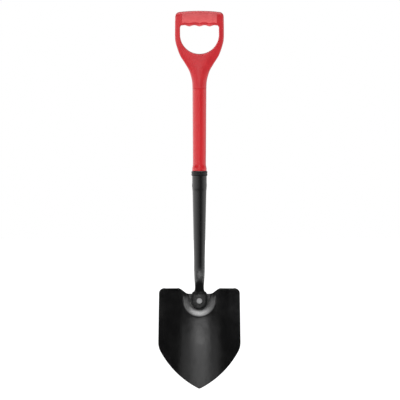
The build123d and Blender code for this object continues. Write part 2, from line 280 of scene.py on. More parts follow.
def arc_points(a, b, c, steps):
    """Points from a to c along the arc through b."""
    x, y = circle_through(a, b, c)
    radius = math.hypot(a[0] - x, a[1] - y)
    start, end = math.atan2(a[1] - y, a[0] - x), math.atan2(c[1] - y, c[0] - x)
    turns = [mix(start, end, i / steps) for i in range(1, steps + 1)]
    return [(x + radius * math.cos(t), y + radius * math.sin(t)) for t in turns]


def side_outline(top):
    """(half width, height) from the tip up the side of the blade, to the height given."""
    turn = math.atan2(POINT_MIDDLE[1], POINT_MIDDLE[0]) * TIP_TURN_SHARE
    rows = [(TIP_RADIUS * math.sin(turn * t), TIP_RADIUS * (1 - math.cos(turn * t)))
            for t in (0.05, 0.2, 0.4, 0.6, 0.8, 1.0)]
    rows += arc_points(rows[-1], POINT_MIDDLE, POINT_START, 84)
    middle = (mix(POINT_START[0], BLADE_HALF, SHOULDER_FULLNESS), mix(POINT_START[1], SIDE_START_Z, 0.5))
    rows += arc_points(POINT_START, middle, (BLADE_HALF, SIDE_START_Z), 10)
    steps = 84
    straight = TREAD_TOP - TREAD_CORNER - SIDE_START_Z
    for i in range(1, steps + 1):
        z = mix(SIDE_START_Z, top, i / steps)
        rows.append((mix(BLADE_HALF, BLADE_TOP_HALF, (z - SIDE_START_Z) / straight), z))
    return rows


def top_edge(x):
    """Height of the blade's top edge at distance x from the middle."""
    x = abs(x)
    corner_start = BLADE_TOP_HALF - TREAD_CORNER
    if x > corner_start:
        across = min(1.0, (x - corner_start) / TREAD_CORNER)
        return TREAD_TOP - TREAD_CORNER * (1 - math.sqrt(max(0.0, 1 - across * across)))
    return mix(VALLEY_Z, TREAD_TOP, smooth((x - VALLEY_HALF) / (TREAD_INNER - VALLEY_HALF)))


def columns(half_count):
    """Shares of the half width, from -1 to 1, spaced evenly along the top edge."""
    fine = [BLADE_TOP_HALF * math.sin(math.pi / 2 * i / 2000) for i in range(2001)]
    length = [0.0]
    for a, b in zip(fine, fine[1:]):
        length.append(length[-1] + math.hypot(b - a, top_edge(b) - top_edge(a)))
    wanted = np.linspace(0, length[-1], half_count + 1)
    right = list(np.interp(wanted, length, fine) / BLADE_TOP_HALF)
    return [-u for u in reversed(right[1:])] + right


def roll_path(x, z_end):
    """The turned step's inner face at x: points (y, z) from the flat sheet round and forward."""
    y_start = face_y(x, z_end)
    points = []
    turn = math.pi / 2 + LIFT
    for i in range(1, ROLL_STEPS + 1):
        a = turn * i / ROLL_STEPS
        ahead, up = 1 - math.cos(a), math.sin(a)
        points.append((
            y_start + ROLL_RADIUS * (-math.cos(LIFT) * ahead + math.sin(LIFT) * up),
            z_end + ROLL_RADIUS * (math.sin(LIFT) * ahead + math.cos(LIFT) * up),
        ))
    y_last, z_last = points[-1]
    points += [(y_last - ROLL_FLAT * i / ROLL_FLAT_STEPS, z_last) for i in range(1, ROLL_FLAT_STEPS + 1)]
    return points


def blade_front():
    """Rows of points over the front of the blade, from the tip to the top edge and round the treads."""
    turn = math.pi / 2 + LIFT
    rise = ROLL_RADIUS * (math.sin(LIFT) * (1 - math.cos(turn)) + math.cos(LIFT) * math.sin(turn)) + SHEET
    shares = columns(HALF_COLUMNS)
    corner_z = TREAD_TOP - TREAD_CORNER
    outline = side_outline(corner_z - rise)
    rows = []
    for half, z_side in outline:
        share = smooth((z_side - STRETCH_FROM) / (corner_z - rise - STRETCH_FROM))
        row = []
        for u in shares:
            x = u * half
            z = z_side + share * (top_edge(u * BLADE_TOP_HALF) - corner_z)
            row.append((x, face_y(x, z), z))
        rows.append(row)
    extra = [[] for _ in roll_path(0, VALLEY_Z)]
    corner_start = BLADE_TOP_HALF - TREAD_CORNER
    for u in shares:
        x = u * BLADE_TOP_HALF
        z_end = top_edge(x) - rise
        inner = smooth((abs(x) - TREAD_INNER + ROLL_FADE * 0.6) / ROLL_FADE)
        outer = smooth((corner_start + ROLL_FADE * 0.5 - abs(x)) / ROLL_FADE)
        turned = inner * outer
        for i, (y, z) in enumerate(roll_path(x, z_end)):
            z_plain = z_end + rise * (i + 1) / len(extra)
            extra[i].append((x, mix(face_y(x, z_plain), y, turned), mix(z_plain, z, turned)))
    return rows + extra


def blade_mesh():
    """The sheet as a closed skin: front, back one sheet thickness behind it, and a rounded edge."""
    front = np.array(blade_front())
    across = np.gradient(front, axis=1)
    along = np.gradient(front, axis=0)
    normal = np.cross(across, along)
    normal /= np.linalg.norm(normal, axis=2, keepdims=True)
    if normal[:, :, 1].mean() < 0:
        normal = -normal
    back = front + normal * SHEET
    rows, cols = front.shape[:2]
    points = [tuple(p) for p in front.reshape(-1, 3)] + [tuple(p) for p in back.reshape(-1, 3)]
    faces = []
    for i in range(rows - 1):
        for j in range(cols - 1):
            quad = (i * cols + j, i * cols + j + 1, (i + 1) * cols + j + 1, (i + 1) * cols + j)
            faces.append(quad)
            faces.append(tuple(rows * cols + k for k in reversed(quad)))
    loop = [(0, j) for j in range(cols)] + [(i, cols - 1) for i in range(1, rows)]
    loop += [(rows - 1, j) for j in range(cols - 2, -1, -1)] + [(i, 0) for i in range(rows - 2, 0, -1)]
    rings = [[i * cols + j for i, j in loop]]
    for share in (0.3, 0.7):
        ring = []
        for i, j in loop:
            out = np.zeros(3)
            if j in (0, cols - 1):
                out += across[i, j] * (1 if j else -1) / np.linalg.norm(across[i, j])
            if i in (0, rows - 1):
                out += along[i, j] * (1 if i else -1) / np.linalg.norm(along[i, j])
            out /= np.linalg.norm(out)
            ring.append(len(points))
            points.append(tuple(front[i, j] + normal[i, j] * SHEET * share + out * EDGE_ROUND))
        rings.append(ring)
    rings.append([rows * cols + k for k in rings[0]])
    for a, b in zip(rings, rings[1:]):
        for k in range(len(loop)):
            n = (k + 1) % len(loop)
            faces.append((a[k], a[n], b[n], b[k]))
    widest = max(x for x, y, z in points)
    low, high = min(z for x, y, z in points), max(z for x, y, z in points)
    points = [(x * BLADE_HALF / widest, y, (z - low) * TREAD_TOP / (high - low)) for x, y, z in points]
    return points, faces


def mark_painted_highlight(obj, highlight_at):
    """Stores the painted highlight on an object's points, from 0 to 1, for its paint to read."""
    painted_highlight = obj.data.attributes.new("painted_highlight", "FLOAT", "POINT")
    for point, mark in zip(obj.data.vertices, painted_highlight.data):
        mark.value = highlight_at(point.co.x / MM, point.co.y / MM, (point.co.z - TIP_Z) / MM)


# ---------------------------------------------------------------- socket, tongue and weld


NECK = (  # height, distance in front of the shaft axis, half width, half depth, squareness
    (316.0, 0.0, 14.5, 14.5, 2.0),
    (309.0, 0.6, 14.4, 14.5, 2.0),
    (301.0, 3.2, 14.1, 14.3, 2.05),
    (293.0, 6.8, 13.7, 13.9, 2.1),
    (286.0, 9.0, 13.3, 12.9, 2.2),
    (278.0, 9.9, 12.7, 11.3, 2.4),
    (265.0, 10.2, 12.0, 6.9, 2.8),
    (256.0, 10.2, 13.6, 3.7, 3.0),
    (250.0, 11.1, 17.2, 2.3, 4.0),
    (244.0, 12.3, 19.4, 2.0, 5.0),
    (229.0, 15.5, 19.5, 2.0, 5.0),
)


def socket_radius(z):
    """Outer radius of the socket above the crank: a mouth, a short step and a long taper."""
    if z >= STEP_TOP:
        return MOUTH_RADIUS
    if z >= STEP_BOTTOM:
        return mix(TAPER_TOP_RADIUS, MOUTH_RADIUS, smooth((z - STEP_BOTTOM) / (STEP_TOP - STEP_BOTTOM)))
    return mix(NECK_RADIUS, TAPER_TOP_RADIUS, max(0.0, z - TAPER_END) / (STEP_BOTTOM - TAPER_END))


def neck_shape(z):
    """Distance forward, half width, half depth and squareness of the socket below the crank."""
    heights = [row[0] for row in reversed(NECK)]
    return [float(catmull(z, heights, [row[k] for row in reversed(NECK)])) for k in range(1, 5)]


def catmull(z, heights, values):
    """A smooth curve through values at rising heights."""
    i = max(0, min(len(heights) - 2, int(np.searchsorted(heights, z)) - 1))
    t = (z - heights[i]) / (heights[i + 1] - heights[i])
    before, after = max(0, i - 1), min(len(values) - 1, i + 2)
    span = heights[i + 1] - heights[i]
    m0 = (values[i + 1] - values[before]) / (heights[i + 1] - heights[before]) * span
    m1 = (values[after] - values[i]) / (heights[after] - heights[i]) * span
    t2, t3 = t * t, t * t * t
    return ((2 * t3 - 3 * t2 + 1) * values[i] + (t3 - 2 * t2 + t) * m0
            + (3 * t2 - 2 * t3) * values[i + 1] + (t3 - t2) * m1)


def bend_highlight(x, y, z):
    """Painted highlight on the front of the socket's bend, where it faces up towards the light."""
    if y > BEND_HIGHLIGHT_BACK:
        return 0.0
    along = math.exp(-((z - BEND_HIGHLIGHT_Z) / BEND_HIGHLIGHT_REACH) ** 2)
    return BEND_HIGHLIGHT * along * max(0.0, 1 - (x / NECK_RADIUS) ** 4)


def socket_mesh():
    """The socket as one skin: round tube, crank with its crease, and flat tongue with a round end."""
    count = 96
    rings = []
    heights = list(np.linspace(MOUTH_Z, STEP_TOP + 1, 8)) + list(np.linspace(STEP_TOP, STEP_BOTTOM, 9))
    heights += list(np.linspace(STEP_BOTTOM - 3, TAPER_END, 30)) + list(np.linspace(TAPER_END - 3, 317.0, 8))
    for z in heights:
        ring = superellipse(socket_radius(z), socket_radius(z), 2.0, count)
        rings.append([(x, y, z) for x, y in ring])
    for z in np.linspace(316.0, TONGUE_CENTRE, 72):
        forward, half, deep, power = neck_shape(z)
        ring = []
        for x, y in superellipse(half, deep, power, count):
            if y < 0:
                crease = CREASE_DEPTH * smooth((292 - z) / 22) * smooth((z - 238) / 16)
                y += crease * math.exp(-(x / CREASE_WIDTH) ** 2) * min(1.0, deep / 3)
            ring.append((x, y - forward, z))
        rings.append(ring)
    for i in range(1, TONGUE_END_STEPS + 1):
        a = math.pi / 2 * i / TONGUE_END_STEPS
        z = TONGUE_CENTRE - TONGUE_HALF * math.sin(a)
        half = max(TONGUE_HALF * math.cos(a), 0.05)
        from_end = z - TONGUE_CENTRE + TONGUE_HALF
        deep = TONGUE_HALF_THICK * min(1.0, TONGUE_END_THIN + 0.8 * from_end / TONGUE_HALF_THICK)
        middle = floor_y(z) - SEAT_GAP - TONGUE_HALF_THICK
        ring = superellipse(half, deep, mix(5.0, 3.0, smooth(i / TONGUE_END_STEPS)), count)
        rings.append([(x, y + middle, z) for x, y in ring])
    return loft(rings)


def floor_point(x, up, out):
    """A point given on the pan's floor: across, up along the floor from the rivet, and out of it."""
    y = floor_y(TONGUE_CENTRE) + up * math.sin(LIFT) - out * math.cos(LIFT)
    return (x, y, TONGUE_CENTRE + up * math.cos(LIFT) + out * math.sin(LIFT))


def tongue_edge(t):
    """The tongue's edge for t from 0 to 1: down one side, round the end and up the other."""
    straight = WELD_TOP - TONGUE_CENTRE
    length = 2 * straight + math.pi * TONGUE_HALF
    s = t * length
    if s < straight:
        up = straight - s
        return -edge_half(up), up
    if s < straight + math.pi * TONGUE_HALF:
        a = math.pi + (s - straight) / TONGUE_HALF
        return TONGUE_HALF * math.cos(a), TONGUE_HALF * math.sin(a)
    up = s - straight - math.pi * TONGUE_HALF
    return edge_half(up), up


def edge_half(up):
    """Half width of the tongue at a height above the rivet."""
    return neck_shape(TONGUE_CENTRE + up)[1]


def weld_mesh():
    """A rippled bead of weld laid round the tongue's edge."""
    rings = []
    steps, around = 260, 14
    for i in range(steps + 1):
        t = i / steps
        x, up = tongue_edge(t)
        ahead = tongue_edge(min(1.0, t + 0.002))
        behind = tongue_edge(max(0.0, t - 0.002))
        dx, du = ahead[0] - behind[0], ahead[1] - behind[1]
        length = math.hypot(dx, du) or 1.0
        side = (du / length, -dx / length)
        uneven = math.sin(t * 2 * math.pi * WELD_RIPPLES) + noise.noise(Vector((t * 21, 3.1, 0.7)))
        ends = smooth(t / 0.03) * smooth((1 - t) / 0.03)
        radius = WELD_RADIUS * (1 + WELD_RIPPLE * uneven) * mix(0.35, 1.0, ends)
        ring = []
        for k in range(around):
            a = 2 * math.pi * k / around
            off = radius * math.cos(a)
            ring.append(floor_point(x + side[0] * off, up + side[1] * off, 0.5 + radius * math.sin(a)))
        rings.append(ring)
    return loft(rings)


def rivet_mesh():
    """A domed rivet with a narrow flange, standing on the tongue, and its tail behind the blade."""
    front = SEAT_GAP + 2 * TONGUE_HALF_THICK
    head, dome, shank, flange = 7.4, 3.9, 4.0, 0.5
    profile = [(0.01, -3.9), (5.4, -3.9), (6.3, -3.4), (6.6, -2.6), (5.6, -SHEET + 0.05), (shank, -SHEET)]
    profile += [(shank, front), (head, front), (head, front + flange)]
    sphere = (head ** 2 + (dome - flange) ** 2) / (2 * (dome - flange))
    centre = front + dome - sphere
    widest = math.degrees(math.atan2(front + flange - centre, head))
    profile += arc((0, centre), sphere, widest, 89.9, 14)[1:]
    segments = 64
    rings = []
    for r, out in profile:
        angles = [2 * math.pi * i / segments for i in range(segments)]
        rings.append([floor_point(r * math.cos(a), r * math.sin(a), out) for a in angles])
    return loft(rings)


# ---------------------------------------------------------------- ring, sleeve and small metal


def ring_mesh():
    """The ring over the socket's mouth, with rounded edges and a groove round its middle."""
    middle = (RING_TOP + RING_BOTTOM) / 2
    round_off, groove_depth, fit = 2.4, 0.45, 0.02
    profile = [(SLEEVE_LOW_RADIUS + 0.3, RING_TOP - 0.1)]
    profile += arc((RING_RADIUS - round_off, RING_TOP - round_off), round_off, 90, 0, 6)
    profile += [(RING_RADIUS, middle + 1.4), (RING_RADIUS - groove_depth, middle + 0.9)]
    profile += [(RING_RADIUS - groove_depth, middle - 0.9), (RING_RADIUS, middle - 1.4)]
    profile += arc((RING_RADIUS - round_off, RING_BOTTOM + round_off), round_off, 0, -90, 6)
    profile += [(MOUTH_RADIUS + fit, RING_BOTTOM)]
    profile += [(MOUTH_RADIUS + fit, RING_TOP - 3.0), (SLEEVE_LOW_RADIUS + 0.3, RING_TOP - 3.0)]
    points, faces = loft(lathe(profile), cap=False)
    count = len(points) // len(profile)
    last = (len(profile) - 1) * count
    for j in range(count):
        k = (j + 1) % count
        faces.append((last + j, last + k, k, j))
    return points, faces


def sleeve_mesh():
    """The sleeve: a short flare where it meets the ring, then a long taper that widens upwards."""
    profile = [(SLEEVE_LOW_RADIUS - 0.5, RING_TOP), (FLARE_RADIUS - 0.5, RING_TOP)]
    profile += [(FLARE_RADIUS, RING_TOP + 0.5), (FLARE_RADIUS, FLARE_BOTTOM)]
    steps = 12
    for i in range(1, steps + 1):
        t = i / steps
        profile.append((mix(FLARE_RADIUS, SLEEVE_LOW_RADIUS, smooth(t)), mix(FLARE_BOTTOM, FLARE_TOP, t)))
    steps = 40
    for i in range(1, steps + 1):
        z = mix(FLARE_TOP, SLEEVE_TOP, i / steps)
        profile.append((mix(SLEEVE_LOW_RADIUS, SLEEVE_TOP_RADIUS, i / steps), z))
    profile.append((SLEEVE_LOW_RADIUS - 0.5, SLEEVE_TOP))
    return loft(lathe(profile))


def stud_mesh(profile, z):
    """A turned stud lying across the shaft, along X, from (radius, distance) points."""
    rings = []
    for r, x in profile:
        angles = [2 * math.pi * i / 40 for i in range(40)]
        rings.append([(x, r * math.cos(a), z + r * math.sin(a)) for a in angles])
    return loft(rings)


def socket_rivet_mesh():
    """The cross rivet: a bar through the socket with a low domed head at each end."""
    head, low = 5.3, 0.55
    base = MOUTH_RADIUS - 0.75
    right = [(head, base), (head - 0.15, base + 0.8), (head * 0.75, base + 0.75 + low * 0.6),
             (head * 0.4, base + 0.75 + low * 0.9), (0.01, MOUTH_RADIUS + 0.5)]
    left = [(r, -x) for r, x in reversed(right)]
    return stud_mesh(left + right, SOCKET_RIVET_Z)


# ---------------------------------------------------------------- D grip


GRIP = (  # height, half width, half depth, squareness
    (792.0, 18.7, 18.7, 2.0),
    (803.0, 18.9, 18.5, 2.05),
    (816.0, 20.2, 17.9, 2.1),
    (829.0, 23.4, 17.2, 2.2),
    (842.0, 28.0, 16.5, 2.3),
    (858.0, 37.2, 15.4, 2.5),
    (869.0, 44.2, 14.8, 2.7),
    (880.0, 51.0, 14.4, 2.9),
    (890.0, 55.4, 14.1, 3.1),
    (900.0, 58.8, 14.0, 3.3),
    (911.0, 62.2, 14.0, 3.5),
    (921.0, 64.3, 14.0, 3.5),
    (932.0, 65.1, 14.0, 3.5),
    (950.0, 65.2, 14.2, 3.5),
    (984.0, 64.7, 14.6, 3.5),
)
CORNER_START = 984.0
CORNER_RADIUS = 10.0
GRIP_LAP = 0.5
CROWN_DROP = 2.4
CROWN_HALF = 50.0
VOXEL = 1.1


def crown_z(x):
    """Top of the grip at distance x from the middle: a slight crown."""
    return TOP_HEIGHT - CROWN_DROP * (x / CROWN_HALF) ** 2


def grip_shape(z):
    """Half width, half depth and squareness of the grip at height z."""
    heights = [row[0] for row in GRIP]
    return [float(catmull(z, heights, [row[k] for row in GRIP])) for k in range(1, 4)]


def grip_solid():
    """The yoke and head of the grip with no opening, as rings up the shaft's axis."""
    rings = []
    count = 120
    heights = list(np.linspace(SLEEVE_TOP - GRIP_LAP, CORNER_START, 84))
    for z in heights:
        half, deep, power = grip_shape(z)
        rings.append([(x, y, z) for x, y in superellipse(half, deep, power, count)])
    half, deep, power = grip_shape(CORNER_START)
    for i in range(1, 15):
        a = math.pi / 2 * i / 14
        inset = CORNER_RADIUS * (1 - math.cos(a))
        ring = []
        for x, y in superellipse(half - inset, deep - inset * 0.6, power, count):
            ring.append((x, y, mix(CORNER_START, crown_z(x) - 0.4, math.sin(a))))
        rings.append(ring)
    return loft(rings)


def opening_outline(inset):
    """The hand opening from the front as (x, z) points, moved inwards by inset."""
    half = OPENING_HALF - inset
    points = []
    for i in range(49):
        a = math.pi + math.pi * i / 48
        points.append((half * math.cos(a), OPENING_CENTRE + half * math.sin(a)))
    top = OPENING_TOP - inset
    corner = OPENING_CORNER
    for i in range(13):
        a = math.pi / 2 * i / 12
        points.append((half - corner + corner * math.cos(a), top - corner + corner * math.sin(a)))
    for i in range(13):
        a = math.pi / 2 + math.pi / 2 * i / 12
        points.append((corner - half + corner * math.cos(a), top - corner + corner * math.sin(a)))
    return points


def cutter_mesh():
    """A flaring plug that cuts the hand opening and leaves its edges rounded."""
    rings = []
    half_depth, reach = 15.5, 30.0
    for i in range(17):
        a = math.pi * i / 16
        inset = -OPENING_FLARE * (1 - math.sin(a)) ** 1.5
        rings.append([(x, -math.cos(a) * half_depth, z) for x, z in opening_outline(inset)])
    first = [(x, -reach, z) for x, z in opening_outline(-OPENING_FLARE)]
    last = [(x, reach, z) for x, z in opening_outline(-OPENING_FLARE)]
    return loft([first] + rings + [last])


def apply_modifiers(obj):
    """The object's mesh with its modifiers worked into it."""
    depsgraph = bpy.context.evaluated_depsgraph_get()
    mesh = bpy.data.meshes.new_from_object(obj.evaluated_get(depsgraph))
    obj.modifiers.clear()
    obj.data = mesh


def cut(obj, tool):
    """Takes the tool's shape out of the object and deletes the tool."""
    boolean = obj.modifiers.new("cut", "BOOLEAN")
    boolean.operation = "DIFFERENCE"
    boolean.solver = "EXACT"
    boolean.object = tool
    apply_modifiers(obj)
    bpy.data.objects.remove(tool)


def make_grip():
    """The moulded grip: solid head, hand opening cut through, then every edge softened."""
    grip = add_object("d_grip_moulding", *grip_solid())
    cut(grip, add_object("opening_tool", *cutter_mesh()))
    remesh = grip.modifiers.new("even", "REMESH")
    remesh.mode = "VOXEL"
    remesh.voxel_size = VOXEL * MM
    apply_modifiers(grip)
    soften = grip.modifiers.new("soften", "SMOOTH")
    soften.factor = 0.5
    soften.iterations = 8
    apply_modifiers(grip)
    grip.data.shade_smooth()
    return grip


def groove(x):
    """Depth of the finger hollows under the bar at x."""
    phase = math.cos(2 * math.pi * x / FINGER_PITCH)
    return GROOVE_DEPTH * (0.5 - 0.5 * phase) ** 0.8


def finger_mesh():
    """The soft sleeve round the bar, hollowed for four fingers below and rounded at its ends."""
    rings = []
    count, steps = 96, 124
    end_round = 1.6
    for i in range(steps + 1):
        x = mix(-BAR_SLEEVE_HALF, BAR_SLEEVE_HALF, i / steps)
        from_end = BAR_SLEEVE_HALF - abs(x)
        inset = 0.0
        if from_end < end_round:
            inset = end_round - math.sqrt(max(0.0, end_round ** 2 - (end_round - from_end) ** 2))
        top = crown_z(x) - inset
        low = FINGER_BOTTOM + inset
        middle, half = (top + low) / 2, (top - low) / 2
        ring = []
        for a, b in superellipse(half, FINGER_HALF_DEPTH - inset, 2.4, count):
            below = smooth(-a / half * 1.25)
            pinch = groove(x) * below
            ring.append((x, b * (1 - 0.035 * pinch * (1 - below)), middle + a + pinch))
        rings.append(ring)
    return loft(rings)


# ---------------------------------------------------------------- materials


class Nodes:
    """Short names for building a material's nodes."""

    def __init__(self, name):
        self.material = bpy.data.materials.new(name)
        self.material.use_nodes = True
        self.tree = self.material.node_tree
        self.shader = self.tree.nodes["Principled BSDF"]

    def node(self, kind, **values):
        made = self.tree.nodes.new(kind)
        for key, value in values.items():
            if key in made.inputs:
                made.inputs[key].default_value = value
            else:
                setattr(made, key, value)
        return made

    def link(self, source, target):
        self.tree.links.new(source, target)

    def place_of(self, stretch=(1, 1, 1)):
        """The point on the object, in metres, stretched."""
        coordinates = self.node("ShaderNodeTexCoord")
        mapping = self.node("ShaderNodeMapping")
        mapping.inputs["Scale"].default_value = stretch
        self.link(coordinates.outputs["Object"], mapping.inputs["Vector"])
        return mapping.outputs["Vector"]

    def noise(self, point, scale, detail=3.0, rough=0.5):
        made = self.node("ShaderNodeTexNoise", Scale=scale, Detail=detail, Roughness=rough)
        self.link(point, made.inputs["Vector"])
        return made.outputs["Fac"]

    def ramp(self, value, low, high, start=0.3, end=0.7):
        """value between start and end turned into low to high."""
        made = self.node("ShaderNodeMapRange")
        for key, number in zip(("From Min", "From Max", "To Min", "To Max"), (start, end, low, high)):
            made.inputs[key].default_value = number
        self.link(value, made.inputs["Value"])
        return made.outputs["Result"]

    def colours(self, value, low, high):
        made = self.node("ShaderNodeMix", data_type="RGBA")
        made.inputs[6].default_value = (*low, 1)
        made.inputs[7].default_value = (*high, 1)
        self.link(value, made.inputs[0])
        return made.outputs[2]

    def bump(self, height, strength, distance, below=None):
        made = self.node("ShaderNodeBump", Strength=strength, Distance=distance)
        self.link(height, made.inputs["Height"])
        if below is not None:
            self.link(below, made.inputs["Normal"])
        return made.outputs["Normal"]

    def use(self, colour=None, rough=None, normal=None):
        for name, socket in (("Base Color", colour), ("Roughness", rough), ("Normal", normal)):
            if socket is not None:
                self.link(socket, self.shader.inputs[name])

    def fixed(self, **values):
        """Values that are the same all over, set on the shader itself."""
        for key, value in values.items():
            self.shader.inputs[key.replace("_", " ")].default_value = value


BLACK = ((0.0035, 0.0035, 0.0037), (0.0065, 0.0065, 0.0067))
# The pale colour and extra roughness of the painted highlights on the black paint.
HIGHLIGHT_COLOUR = (0.52, 0.52, 0.522)
HIGHLIGHT_ROUGHER = 0.22
HIGHLIGHT_GRAIN = 220.0


def add_painted_highlight(m, point, paint, shine):
    """Colour and roughness of the paint with its painted highlight: pale and dull where the stored
    highlight, broken by noise, is high.
    """
    painted_highlight = m.node("ShaderNodeAttribute", attribute_name="painted_highlight").outputs["Fac"]
    broken = m.node("ShaderNodeMath", operation="MULTIPLY")
    m.link(painted_highlight, broken.inputs[0])
    m.link(m.ramp(m.noise(point, HIGHLIGHT_GRAIN, 4.0, 0.6), 0.55, 1.0), broken.inputs[1])
    highlighted = m.node("ShaderNodeMix", data_type="RGBA")
    m.link(broken.outputs[0], highlighted.inputs[0])
    m.link(paint, highlighted.inputs[6])
    highlighted.inputs[7].default_value = (*HIGHLIGHT_COLOUR, 1)
    rougher = m.node("ShaderNodeMath", operation="MULTIPLY_ADD")
    m.link(broken.outputs[0], rougher.inputs[0])
    rougher.inputs[1].default_value = HIGHLIGHT_ROUGHER
    m.link(shine, rougher.inputs[2])
    return highlighted.outputs[2], rougher.outputs[0]


def black_paint(name, grain=1.0, rough=(0.30, 0.44), colour=BLACK, wave=0.12, with_highlight=False):
    """Baked black paint on steel: slight orange peel, and patches that dried a little duller."""
    m = Nodes(name)
    point = m.place_of()
    patches = m.noise(point, 34.0, 4.0, 0.6)
    normal = m.bump(m.noise(point, 42.0, 2.0), wave * grain, 0.002)
    normal = m.bump(m.noise(point, 850.0, 2.0), 0.16 * grain, 0.0004, normal)
    m.fixed(Specular_IOR_Level=0.55)
    paint = m.colours(m.ramp(patches, 0, 1), *colour)
    shine = m.ramp(patches, *rough)
    # Painted highlight: pale where the object's stored highlight is high.
    if with_highlight:
        paint, shine = add_painted_highlight(m, point, paint, shine)
    m.use(paint, shine, normal)
    return m.material


def red_plastic(name, colour, rough, grain_scale, grain, stretch=(1, 1, 1), coat=0.0):
    """Moulded plastic: fine grain, faint flow marks and a little unevenness in its colour."""
    m = Nodes(name)
    point = m.place_of(stretch)
    flow = m.noise(point, 45.0, 3.0, 0.55)
    fine = m.noise(point, grain_scale, 2.0)
    dark = tuple(c * 0.9 for c in colour)
    normal = m.bump(flow, 0.05, 0.001)
    normal = m.bump(fine, grain, 0.0003, normal)
    m.use(m.colours(m.ramp(flow, 0, 1), dark, colour), m.ramp(flow, rough - 0.05, rough + 0.05), normal)
    m.fixed(Specular_IOR_Level=0.5, Coat_Weight=coat, Coat_Roughness=0.25)
    return m.material


def soft_plastic():
    """The softer grip: paler, more matt, with a stippled skin."""
    m = Nodes("soft_grip_red")
    point = m.place_of()
    flow = m.noise(point, 60.0, 3.0)
    stipple = m.node("ShaderNodeTexVoronoi", Scale=900.0)
    m.link(point, stipple.inputs["Vector"])
    normal = m.bump(stipple.outputs["Distance"], 0.22, 0.0004)
    m.use(m.colours(m.ramp(flow, 0, 1), (0.60, 0.080, 0.085), (0.65, 0.110, 0.114)),
          m.ramp(flow, 0.58, 0.68), normal)
    m.fixed(Specular_IOR_Level=0.18)
    return m.material


def plain_grain(name, low, high, rough, metal=0.0, scale=300.0, stretch=(1, 1, 1)):
    """A plain finish with a fine grain between two colours."""
    m = Nodes(name)
    value = m.noise(m.place_of(stretch), scale, 3.0)
    m.use(m.colours(m.ramp(value, 0, 1), low, high), m.ramp(value, rough - 0.06, rough + 0.06),
          m.bump(value, 0.15, 0.0003))
    m.fixed(Metallic=metal)
    return m.material


# ---------------------------------------------------------------- pieces


def dress(obj, material, slot, *nodes):
    """Gives a piece its material, hangs it on the root body and hides the CAD nodes it stands for."""
    obj.data.materials.clear()
    obj.data.materials.append(material)
    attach(obj, "root")
    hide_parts(*nodes)


SLEEVE_RED = (0.57, 0.004, 0.010)
# The grip's red is the sleeve's red darkened: painted shade for the curved yoke and arms, which catch less
# light.
GRIP_RED_SHADED = (0.53, 0.005, 0.012)
blade_paint = black_paint("blade_paint", rough=(0.14, 0.22), wave=0.2, with_highlight=True)
socket_paint = black_paint("socket_paint", grain=0.6, rough=(0.20, 0.28), with_highlight=True)
weld_paint = black_paint("weld_paint", grain=1.6, rough=(0.36, 0.50))
# The rivets' grey is a painted highlight on black paint, standing in for the broad reflection on the domed
# heads.
rivet_paint = black_paint("rivet_paint", grain=0.5, rough=(0.48, 0.58),
                          colour=((0.22, 0.22, 0.223), (0.30, 0.30, 0.303)))

pressed_blade = add_object("pressed_blade", *blade_mesh())
mark_painted_highlight(pressed_blade, pan_highlight)
dress(pressed_blade, blade_paint, "blade_paint", "blade")
tapered_socket = add_object("tapered_socket", *socket_mesh())
mark_painted_highlight(tapered_socket, bend_highlight)
dress(tapered_socket, socket_paint, "socket_paint", "socket")
dress(add_object("tongue_weld_bead", *weld_mesh()), weld_paint, "weld_paint", "tongue_weld")
dress(add_object("domed_blade_rivet", *rivet_mesh()), rivet_paint, "rivet_paint", "blade_rivet")
dress(add_object("mouth_ring_moulding", *ring_mesh()), plain_grain(
    "ring_plastic", (0.003, 0.003, 0.0035), (0.006, 0.006, 0.007), 0.5), "ring_plastic", "mouth_ring")
dress(add_object("socket_cross_rivet", *socket_rivet_mesh()), rivet_paint, "rivet_paint", "socket_rivet")
dress(add_object("red_shaft_sleeve", *sleeve_mesh()), red_plastic(
    "red_sleeve", SLEEVE_RED, 0.31, 520.0, 0.05, (1, 1, 0.12), 0.30), "red_sleeve", "shaft_sleeve")
dress(make_grip(), red_plastic("red_grip", GRIP_RED_SHADED, 0.38, 800.0, 0.08, coat=0.22), "red_grip", "d_grip")
dress(add_object("finger_sleeve", *finger_mesh()), soft_plastic(), "soft_red", "finger_grip")

INNER_FINISH = {
    "shaft_core": plain_grain(
        "fibreglass", (0.50, 0.44, 0.30), (0.66, 0.60, 0.44), 0.5, 0.0, 900.0, (1, 1, 0.03)),
    "lower_core_plug": plain_grain("plug_plastic", (0.24, 0.24, 0.23), (0.30, 0.30, 0.29), 0.55),
    "grip_pin": plain_grain("pin_steel", (0.42, 0.42, 0.43), (0.56, 0.56, 0.57), 0.35, 1.0, 500.0),
}
INNER_FINISH["upper_core_plug"] = INNER_FINISH["lower_core_plug"]
for node, finish in INNER_FINISH.items():
    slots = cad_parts[node].data.materials
    for i in range(len(slots)):
        slots[i] = finish

# ---------------------------------------------------------------- studio

VIEW_HEIGHT = 1.0625
VIEW_CENTRE = (0.0016, 0.4975)
LENS = 400.0
FLOOR_DROP = 0.15
SENSOR = 36.0


def aim(obj, target):
    """Turns a camera or light towards a point."""
    direction = Vector(target) - obj.location
    obj.rotation_euler = direction.to_track_quat("-Z", "Y").to_euler()


def add_camera():
    """A long lens straight in front, far enough away to hold VIEW_HEIGHT."""
    data = bpy.data.cameras.new("camera")
    data.lens, data.sensor_width = LENS, SENSOR
    camera = bpy.data.objects.new("camera", data)
    distance = VIEW_HEIGHT / 2 / (SENSOR / 2 / LENS)
    camera.location = (VIEW_CENTRE[0], -distance, TIP_Z + VIEW_CENTRE[1])
    aim(camera, (VIEW_CENTRE[0], 0, TIP_Z + VIEW_CENTRE[1]))
    bpy.context.scene.collection.objects.link(camera)
    bpy.context.scene.camera = camera


